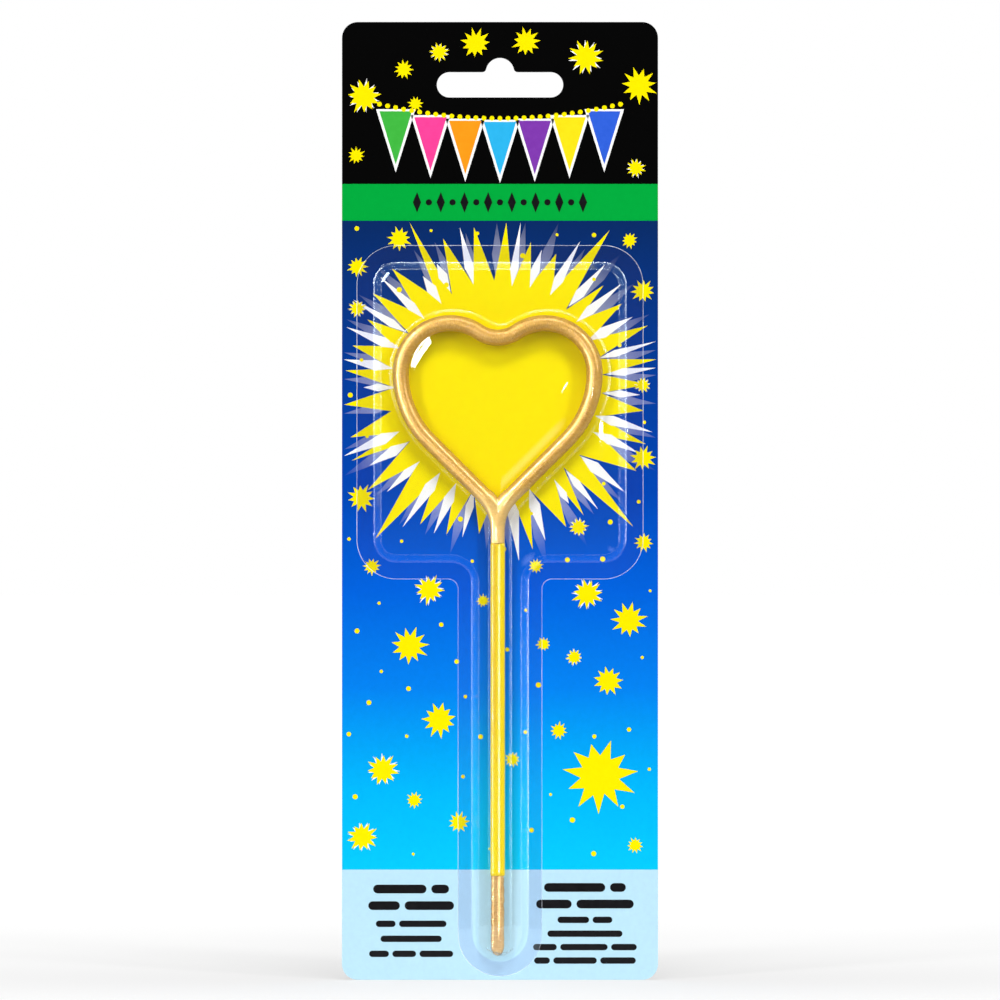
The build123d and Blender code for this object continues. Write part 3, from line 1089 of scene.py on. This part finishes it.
def stem_points(levels, ovals):
    """Ovals stacked down the stem, one at each level."""
    heights = np.broadcast_to(levels[:, None], ovals.shape[:2])
    return np.stack([sparkler_x + ovals[..., 0], sparkler_y - ovals[..., 1], heights], axis=-1)


print("ovals of", STEM_COLUMNS, "points")

# %% Sleeve finish
SLEEVE_LINES = (9000, 9000, 160)
SLEEVE_CLOUD_CELLS = 420.0
SLEEVE_RELIEF = 0.00002
SHEEN_EDGE = (0.4, 0.1)
SHEEN_WAVER = 0.1
SHEEN_FADE = (-192.0, -158.0)
SHEEN_STRENGTH = 0.6


def sleeve_finish():
    """Glossy yellow plastic with drawn lines, and a painted gold-toned sheen on the upper left ridge."""
    finish = new_finish("yellow_sleeve")
    place = finish.place()
    across = finish.part(place, 0) / MM - sparkler_x
    height = finish.part(place, 2) / MM
    lines = finish.noise(finish.mapped(place, SLEEVE_LINES), 1.0, 3.0)
    cloud = finish.noise(place, SLEEVE_CLOUD_CELLS)
    # Painted reflection: a gold-toned sheen along the upper left ridge, fading out downwards.
    from_left_leg = across + LEG_HALF
    left = finish.ease(from_left_leg * from_left_leg + cloud * SHEEN_WAVER, *SHEEN_EDGE)
    upper = finish.ease(height, *SHEEN_FADE)
    yellow = finish.mix(cloud, colour(255, 216, 0), colour(255, 230, 6))
    painted_sheen_colour = finish.mix(lines, colour(228, 160, 28), colour(250, 206, 66))
    sockets = {
        "Base Color": finish.mix(left * upper * SHEEN_STRENGTH, yellow, painted_sheen_colour),
        "Roughness": 0.3 + lines * 0.1,
        "Specular IOR Level": 0.1,
        "Coat Weight": 0.9,
        "Coat Roughness": 0.03,
        "Normal": finish.bump(lines, SLEEVE_RELIEF, 0.4),
    }
    return finish.painted(sockets)


sleeve_yellow = sleeve_finish()
print("sleeve finish", sleeve_yellow.name)

# %% Sleeve
SLEEVE_ROWS = 150
SLEEVE_WALL = 0.25
SLEEVE_GROOVE = 0.3
SLEEVE_SWELL = 0.012
SWELL_TURN = 31.0
LIP = 0.1
LIP_BACK = 0.3
LIP_SHARES = np.array([1.0, 0.85, 0.45])
sleeve_radius = (sleeve_high[1] - sleeve_low[1]) / 2
sleeve_levels = np.concatenate(
    [
        [sleeve_high[2] - LIP_BACK, sleeve_high[2] - LIP / 2, sleeve_high[2]],
        np.linspace(sleeve_high[2] - LIP, sleeve_low[2] + LIP, SLEEVE_ROWS),
        [sleeve_low[2], sleeve_low[2] + LIP / 2, sleeve_low[2] + LIP_BACK],
    ]
)
lip_offsets = -SLEEVE_WALL * LIP_SHARES
sleeve_swell = SLEEVE_SWELL * np.sin(np.linspace(0, SWELL_TURN, SLEEVE_ROWS)) - SLEEVE_SWELL
sleeve_radii = sleeve_radius + np.concatenate([lip_offsets, sleeve_swell, lip_offsets[::-1]])
sleeve_ovals = np.stack([stem_oval(radius, SLEEVE_GROOVE) for radius in sleeve_radii])
sleeve_points = stem_points(sleeve_levels, sleeve_ovals)
sleeve_faces = grid_faces(len(sleeve_levels), STEM_COLUMNS, around=True, closed=True)
yellow_sleeve = add_piece(
    "yellow_sleeve",
    sleeve_points.reshape(-1, 3),
    [sleeve_faces[:, ::-1]],
    "sparkler",
    "yellow_sleeve",
    sleeve_yellow,
)
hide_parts("stem_sleeve")

# %% [markdown]
# ## The dipped tip
# The bare ends of the legs are dipped in the gold again. The dip bridges the gap between the legs and
# hangs together at the end in a round drop, so the groove fades out and the oval closes like the end
# of a finger. The same stacked ovals make it, shrinking along a quarter ellipse towards the end.

# %% Tip
TIP_ROWS = 120
TIP_ROUND = 2.6
TIP_CURVE = 2.2
TIP_LEAST = 1e-4
TIP_GROOVE = 0.34
TIP_PLAIN = 2.0
GROOVE_FADE = 7.0
TIP_ROUGHNESS = 0.02
TIP_AROUND = 9.0
tip_radius = (tip_high[1] - tip_low[1]) / 2
tip_levels = tip_high[2] - (tip_high[2] - tip_low[2]) * np.sin(np.linspace(0, np.pi / 2, TIP_ROWS))
end_share = np.clip((tip_low[2] + TIP_ROUND - tip_levels) / TIP_ROUND, 0, 1)
tip_scale = np.sqrt(np.maximum(1 - end_share**TIP_CURVE, TIP_LEAST))[:, None, None]
tip_grooves = TIP_GROOVE * np.clip((tip_levels - tip_low[2] - TIP_PLAIN) / GROOVE_FADE, 0, 1)
tip_ovals = np.stack([stem_oval(tip_radius, groove) for groove in tip_grooves])
tip_around = np.linspace(0, TIP_AROUND, STEM_COLUMNS)
tip_waves = hammered(*np.broadcast_arrays(tip_levels[:, None], tip_around[None]))
tip_skin = tip_waves[..., None] * tip_scale
tip_ovals = tip_ovals * tip_scale * (1 - TIP_ROUGHNESS + TIP_ROUGHNESS * tip_skin)
tip_points = stem_points(tip_levels, tip_ovals)


def along_stem_place(finish):
    """The piece's own coordinates in millimetres, turned so that the stem lies along the first axis."""
    in_mm = (1 / MM, 1 / MM, 1 / MM)
    return finish.mapped(finish.place(), in_mm, (0, math.radians(90), 0))


def closed_tube(points):
    """A tube of rings with both ends closed by fans: its points, its quads and its end triangles."""
    rows, columns = points.shape[:2]
    flat = points.reshape(-1, 3)
    middles = points[[0, -1]].mean(axis=1)
    first = np.arange(columns)
    last = first + (rows - 1) * columns
    top = np.stack([np.full(columns, len(flat)), first, np.roll(first, -1)], axis=1)
    end = np.stack([np.full(columns, len(flat) + 1), np.roll(last, -1), last], axis=1)
    sides = grid_faces(rows, columns, around=True)[:, ::-1]
    return np.concatenate([flat, middles]), [sides, top, end]


gold_dip = gold_finish("gold_dip", along_stem_place, (186, 128, 58), (236, 196, 128), (3.0, 1.0, 1.0))
dipped_tip = add_piece("dipped_tip", *closed_tube(tip_points), "sparkler", "gold_dip", gold_dip)
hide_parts("tip_coating")
for piece in (gold_heart, yellow_sleeve, dipped_tip):
    sparkler_pieces.objects.link(piece)

# %% [markdown]
# ## The blister's outlines
# The clear cover is drawn over a mould: a flat flange, a tray with a channel for the stem, and on the
# tray's top a second step that follows the heart. Both steps have an outline made of lines and arcs.
# An outline moved inwards by some distance is again lines and arcs, with other radii, so it can be
# written down exactly. Each outline has the same eight zones with the same number of points in each,
# so that the outlines can be strung one inside the other like the rings of a web.

# %% Outlines of the steps
TRAY_FLANGE = 4.6
CHANNEL_FLANGE = 3.7
TRAY_CORNER = 5.5
TRAY_BOTTOM_ROOM = 4.5
CHANNEL_NECK_ROUND = 5.5
FLANGE_NECK_ROUND = 2.5
CHANNEL_SHELF = 4.1
RIDGE_ROOM = 1.0
RIDGE_NECK_ROUND = 7.0
RIDGE_SETBACK = 2.2
POCKET_ROOM = 1.3
LOBE_TOP_TURN = 100
LOBE_SIDE_TURN = 35
SIDE_TURN = -25
ZONE_POINTS = (32, 22, 42, 20, 24, 20, 44, 24)
ridge_half = (sleeve_high[0] - sleeve_low[0]) / 2 + RIDGE_ROOM
channel_half = ridge_half + CHANNEL_SHELF
tray_bottom = coat_low[2] - TRAY_BOTTOM_ROOM
channel_end = blister_low[2] + CHANNEL_FLANGE
ridge_end = channel_end + RIDGE_SETBACK + ridge_half


def zoned(zones):
    """One line through all zones, each with its own share of evenly spaced points."""
    parts = [evenly(zone, count + 1)[:-1] for zone, count in zip(zones, ZONE_POINTS)]
    return np.concatenate([*parts, zones[-1][-1:]])


def tray_and_channel(half, top, bottom, corner, stem_half, neck, end):
    """The right half of a round-cornered tray with a round-ended channel below it."""
    return zoned(
        [
            np.array([(0, top), (half - corner, top)]),
            arc((half - corner, top - corner), corner, 90, 0),
            np.array([(half, top - corner), (half, bottom + corner)]),
            arc((half - corner, bottom + corner), corner, 0, -90),
            np.array([(half - corner, bottom), (stem_half + neck, bottom)]),
            arc((stem_half + neck, bottom - neck), neck, 90, 180),
            np.array([(stem_half, bottom - neck), (stem_half, end + stem_half)]),
            arc((0, end + stem_half), stem_half, 0, -90),
        ]
    )


def tray_line(inset):
    """The foot of the tray's wall, moved inwards."""
    return tray_and_channel(
        blister_high[0] - TRAY_FLANGE - inset,
        blister_high[2] - TRAY_FLANGE - inset,
        tray_bottom + inset,
        TRAY_CORNER - inset,
        channel_half - inset,
        CHANNEL_NECK_ROUND + inset,
        channel_end + inset,
    )


def pocket_line(inset):
    """The foot of the pocket's wall, moved inwards: round the heart, then down both sides of the stem."""
    grow = coat_radius + POCKET_ROOM
    lobe = LOBE_RADIUS + grow - inset
    side = SIDE_RADIUS + grow - inset
    neck = RIDGE_NECK_ROUND + inset
    stem_half = ridge_half - inset
    neck_x = ridge_half + RIDGE_NECK_ROUND
    neck_reach = side_centre @ arm_out + SIDE_RADIUS + grow + RIDGE_NECK_ROUND
    neck_centre = np.array([neck_x, (neck_reach - neck_x * arm_out[0]) / arm_out[1]])
    arm_top = side_centre + side * arm_out
    arm_foot = neck_centre - neck * arm_out
    arm_middle = (arm_top + arm_foot) / 2
    cleft = arc(cleft_centre, CLEFT_RADIUS - grow + inset, -90, -90 + cleft_turn)
    lobe_side = arc(lobe_centre, lobe, LOBE_SIDE_TURN, 0)
    upper_side = arc(side_centre, side, 0, SIDE_TURN)
    lower_side = arc(side_centre, side, SIDE_TURN, -ARM_SLOPE)
    return zoned(
        [
            np.concatenate([cleft, arc(lobe_centre, lobe, 90 + cleft_turn, LOBE_TOP_TURN)]),
            arc(lobe_centre, lobe, LOBE_TOP_TURN, LOBE_SIDE_TURN),
            np.concatenate([lobe_side, upper_side]),
            np.concatenate([lower_side, [arm_middle]]),
            np.array([arm_middle, arm_foot]),
            arc(neck_centre, neck, 180 - ARM_SLOPE, 180),
            np.array([(stem_half, neck_centre[1]), (stem_half, ridge_end)]),
            arc((0, ridge_end), stem_half, 0, -90),
        ]
    )


flange_line = tray_and_channel(
    blister_high[0],
    blister_high[2],
    tray_bottom - TRAY_FLANGE,
    TRAY_CORNER + TRAY_FLANGE,
    channel_half + CHANNEL_FLANGE,
    FLANGE_NECK_ROUND,
    blister_low[2],
)
print("outline points", len(flange_line), len(tray_line(0)), len(pocket_line(0)))

# %% [markdown]
# ## The drawn sheet
# Each ring of the web gets a height. A step rises by a steep wall and bends over. The tray goes on rising
# gently over a broad shoulder, because the warm sheet is stretched over the mould and never lies quite
# flat. Soft minima and maxima round the edge and the foot. Inside the wire the pocket swells once more,
# in a low dome. The steps are simply added. The right half is mirrored, the seam on the middle is welded,
# and a Solidify modifier gives the sheet its thickness towards the card.

# %% Height of the sheet
SHEET = 0.3
SHEET_THICKNESS = 0.28
TRAY_RISE = 3.9
TRAY_SLOPE = 2.2
POCKET_SLOPE = 3.4
TRAY_STEP = 0.1
POCKET_STEP = 0.08
TRAY_WALL = 3.2
TRAY_SHOULDER = 5.5
TRAY_FOOT = 1.2
POCKET_FOOT = 0.45
EDGE_BLEND = 0.4
RIPPLE = 0.004
RIPPLE_ACROSS = 2.3
RIPPLE_UP = 3.1
RIPPLE_SLANT = (5.9, 7.7)
RIPPLE_START = 0.7
CUT_EDGE = 0.2
DOME_START = 4.6
DOME_WIDTH = 7.5
DOME_RISE = 1.3
DOME_BLEND = 0.15
CLEFT_CALM = (6.0, 18.0)
SHELF_RINGS = 6
INNER_RINGS = 30
INNER_SPREAD = 1.25
SPINE_LEVELS = (-78, -80, -83, -90, -100, -108, -121)
pocket_rise = blister_high[1] - blister_low[1] - SHEET - TRAY_RISE


def soft_min(first, second, blend):
    """The smaller of two heights, with the crease between them rounded over a blend."""
    share = np.clip(0.5 + 0.5 * (second - first) / blend, 0, 1)
    return second + (first - second) * share - blend * share * (1 - share)


def step_height(inside, slope, wall, foot, extra=0.0, shoulder=1.0):
    """The height at a distance inside an outline: a steep wall, then a shoulder that adds the extra."""
    share = np.clip((inside - wall / slope) / shoulder, 0, 1)
    top = wall + extra * share * (2 - share)
    return -soft_min(-soft_min(slope * inside, top, EDGE_BLEND), 0 * inside, foot)


def distance_to(points, line):
    """The shortest distance from each point to a line through many points."""
    steps = np.diff(line, axis=0)
    offsets = points[:, None] - line[None, :-1]
    shares = np.clip((offsets * steps).sum(axis=2) / (steps**2).sum(axis=1), 0, 1)
    return np.linalg.norm(offsets - shares[..., None] * steps, axis=2).min(axis=1)


def between(first, last, shares):
    """Lines between two lines of the same number of points, at these shares of the way."""
    return first + (last - first) * np.asarray(shares)[:, None, None]


def spine_line():
    """The middle of the web, on x of 0: down the heart's middle and the stem to the ridge's end."""
    levels = np.array([*SPINE_LEVELS, ridge_end, ridge_end])
    zones = zip(levels, levels[1:], ZONE_POINTS)
    heights = [np.linspace(top, end, count + 1)[:-1] for top, end, count in zones]
    height = np.concatenate([*heights, [ridge_end]])
    return np.stack([np.zeros_like(height), height], axis=1)


print("the pocket rises", round(pocket_rise, 2), "mm above the tray")

# %% Rings of the web
# Close rings run from a little outside the foot of each wall to well inside its top.
tray_steps = np.arange(-8, 25)
pocket_steps = np.arange(-6, 23)
tray_rings = np.stack([tray_line(TRAY_STEP * step) for step in tray_steps])
pocket_rings = np.stack([pocket_line(POCKET_STEP * step) for step in pocket_steps])
flange_rings = between(flange_line, tray_rings[0], [0, CUT_EDGE / TRAY_FLANGE, 0.5])
shelf_shares = np.arange(1, SHELF_RINGS + 1) / (SHELF_RINGS + 1)
shelf_rings = between(tray_rings[-1], pocket_rings[0], shelf_shares)
inner_shares = (np.arange(1, INNER_RINGS + 1) / INNER_RINGS) ** INNER_SPREAD
inner_rings = between(pocket_rings[-1], spine_line(), inner_shares)
web = np.concatenate([flange_rings, tray_rings, shelf_rings, pocket_rings, inner_rings])
rings, ring_points = web.shape[:2]
tray_foot = len(flange_rings) + int(np.argmin(np.abs(tray_steps)))
rings_before_pocket = len(flange_rings) + len(tray_rings) + len(shelf_rings)
pocket_foot = rings_before_pocket + int(np.argmin(np.abs(pocket_steps)))
flat_web = web.reshape(-1, 2)
ring_index = np.repeat(np.arange(rings), ring_points)
print("web", rings, "rings of", ring_points)

# %% Height of every point
in_tray = distance_to(flat_web, tray_line(0)) * np.where(ring_index < tray_foot, -1, 1)
in_pocket = distance_to(flat_web, pocket_line(0)) * np.where(ring_index < pocket_foot, -1, 1)
tray_extra = TRAY_RISE - TRAY_WALL
tray_height = step_height(in_tray, TRAY_SLOPE, TRAY_WALL, TRAY_FOOT, tray_extra, TRAY_SHOULDER)
cleft_point = cleft_centre - (0, CLEFT_RADIUS)
from_cleft = np.linalg.norm(flat_web - cleft_point, axis=1)
calm = np.clip((from_cleft - CLEFT_CALM[0]) / (CLEFT_CALM[1] - CLEFT_CALM[0]), 0, 1)
dome_share = np.clip((in_pocket - DOME_START) / DOME_WIDTH, -1, 1)
dome = -soft_min(-DOME_RISE * dome_share * (2 - dome_share), 0 * dome_share, DOME_BLEND)
dome_height = dome * calm**2 * (3 - 2 * calm)
pocket_wall = pocket_rise - DOME_RISE
pocket_height = step_height(in_pocket, POCKET_SLOPE, pocket_wall, POCKET_FOOT) + dome_height
web_x, web_z = flat_web.T
cross_ripple = np.sin(web_x / RIPPLE_ACROSS + RIPPLE_START) * np.sin(web_z / RIPPLE_UP)
ripple = cross_ripple + np.sin(web_x / RIPPLE_SLANT[0] + web_z / RIPPLE_SLANT[1])
sheet_height = SHEET + tray_height + pocket_height + RIPPLE * ripple * np.clip(tray_height, 0, 1)
print("the sheet's highest point", round(sheet_height.max(), 2))

# %% [markdown]
# ## Clear plastic
# A thin clear sheet lets nearly all light straight through and mirrors more of it at a slant. So its
# shader mixes a transparent one with a mirror by the slant. Where the sheet bends, the mirror is
# blurred, because sharp reflections on a narrow bend break up into dots. The sheet and the seal film
# cast no shadow: thin plastic hardly dims the card, and a renderer counts only so many clear layers.

# %% Clear plastic
SMEAR_CELLS = 240.0
SMEAR_BLUR = 0.02
SLANT_SHINE = 0.4
SLANT_POWER = 5.0
BEND_SLANT = (0.02, 0.1)
BEND_BLUR = 0.2
PALE_BLUE = (0.68, 0.87, 1.0, 1)
PALER_BLUE = (0.78, 0.92, 1, 1)


def clear_plastic(name, roughness, floor_share, tint):
    """Clear where seen straight on and mirror-like at a slant, as a share that grows with the slant."""
    finish = new_finish(name)
    smear = finish.noise(finish.place(), SMEAR_CELLS)
    slant = finish.slant()
    shine = floor_share + SLANT_SHINE * slant**SLANT_POWER
    bend_blur = finish.ease(slant, *BEND_SLANT, BEND_BLUR)
    clear = finish.node("BsdfTransparent", {}, {"Color": tint})
    mirror_sockets = {
        "Base Color": finish.mix(smear, PALE_BLUE, PALER_BLUE),
        "Metallic": 1.0,
        "Roughness": roughness + smear * SMEAR_BLUR + bend_blur,
    }
    mirror = finish.node("BsdfPrincipled", {}, mirror_sockets)
    return finish.surface(finish.node("MixShader", {}, {0: shine, 1: clear, 2: mirror}))


clear_sheet = clear_plastic("clear_sheet", roughness=0.01, floor_share=0.035, tint=grey(1))
seal_lacquer = clear_plastic("seal_lacquer", roughness=0.25, floor_share=0.003, tint=(0.95, 0.95, 1, 1))
print("clear finishes:", clear_sheet.name, seal_lacquer.name)

# %% Blister
SHEET_WELD = 0.002


def welded_sheet(name, body, slot, material, depth, sheet_rings, thickness):
    """Both halves of some rings of the web as one sheet, facing away from the card."""
    points = sheet_rings * ring_points
    right = np.stack([web_x[:points], depth[:points], web_z[:points]], axis=1)
    faces = grid_faces(sheet_rings, ring_points)
    halves = [faces, faces[:, ::-1] + len(right)]
    piece = add_piece(name, np.concatenate([right, right * (-1, 1, 1)]), halves, body, slot, material)
    shape = bmesh.new()
    shape.from_mesh(piece.data)
    bmesh.ops.remove_doubles(shape, verts=shape.verts[:], dist=SHEET_WELD * MM)
    shape.to_mesh(piece.data)
    shape.free()
    skin = piece.modifiers.new("thickness", "SOLIDIFY")
    skin.thickness = thickness * MM
    skin.offset = -1
    return piece


sheet_depth = seal_low[1] - sheet_height
clear_blister = welded_sheet(
    "clear_blister", "blister", "clear_sheet", clear_sheet, sheet_depth, rings, SHEET_THICKNESS
)
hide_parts("blister_shell")
plastic.objects.link(clear_blister)
clear_blister.visible_shadow = False

# %% Cut edge
SCRATCH_CELLS = 1800.0
WEAR_CELLS = 45.0


def frosted_edge():
    """The die-cut edge of the sheet: whitish, because the cut leaves fine scratches."""
    finish = new_finish("cut_edge")
    scratches = finish.noise(finish.place(), SCRATCH_CELLS, 4.0)
    wear = finish.noise(finish.place(), WEAR_CELLS, 2.0) ** 2.0
    sockets = {
        "Base Color": finish.mix(scratches, colour(214, 224, 240), colour(248, 250, 255)),
        "Roughness": 0.25 + scratches * 0.3,
        "Alpha": 0.1 + wear * 0.8,
    }
    return finish.painted(sockets)


clear_blister.data.materials.append(frosted_edge())
edge_faces = np.zeros(len(clear_blister.data.polygons), dtype=np.int32)
middles = np.zeros(3 * len(edge_faces))
clear_blister.data.polygons.foreach_get("center", middles)
edge_gap = distance_to(np.abs(middles.reshape(-1, 3)[:, [0, 2]] / MM) * (1, -1), flange_line)
edge_faces[edge_gap < CUT_EDGE] = 1
clear_blister.data.polygons.foreach_set("material_index", edge_faces)
print("faces on the cut edge", edge_faces.sum())

# %% Seal film
SEAL_FILM = 0.005
film_depth = np.full(len(flat_web), seal_low[1])
film_rings = tray_foot + 1
seal_film = welded_sheet(
    "seal_film", "card", "seal_lacquer", seal_lacquer, film_depth, film_rings, SEAL_FILM
)
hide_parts("seal_coat")
seal_film.visible_shadow = False

# %% [markdown]
# ## The wire
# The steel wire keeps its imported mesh. It lies hidden inside the coats and the sleeve, so a plain
# drawn-steel finish is enough.

# %% Wire
STEEL_LINES = (6000, 6000, 300)
RUST_CELLS = 500.0
RUST_SHARE = 0.4


def drawn_steel():
    """Steel wire with fine lines from the drawing die and a touch of rust."""
    finish = new_finish("wire_steel")
    place = finish.place()
    lines = finish.noise(finish.mapped(place, STEEL_LINES), 1.0)
    rust = finish.noise(place, RUST_CELLS) * RUST_SHARE
    steel = finish.mix(lines, colour(120, 118, 114), colour(176, 174, 170))
    sockets = {
        "Base Color": finish.mix(rust, steel, colour(128, 84, 52)),
        "Metallic": 1.0 - rust,
        "Roughness": 0.3 + lines * 0.2,
    }
    return finish.painted(sockets)


dress_node("core_wire", drawn_steel())
print("wire dressed,", len(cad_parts["core_wire"].data.polygons), "faces")
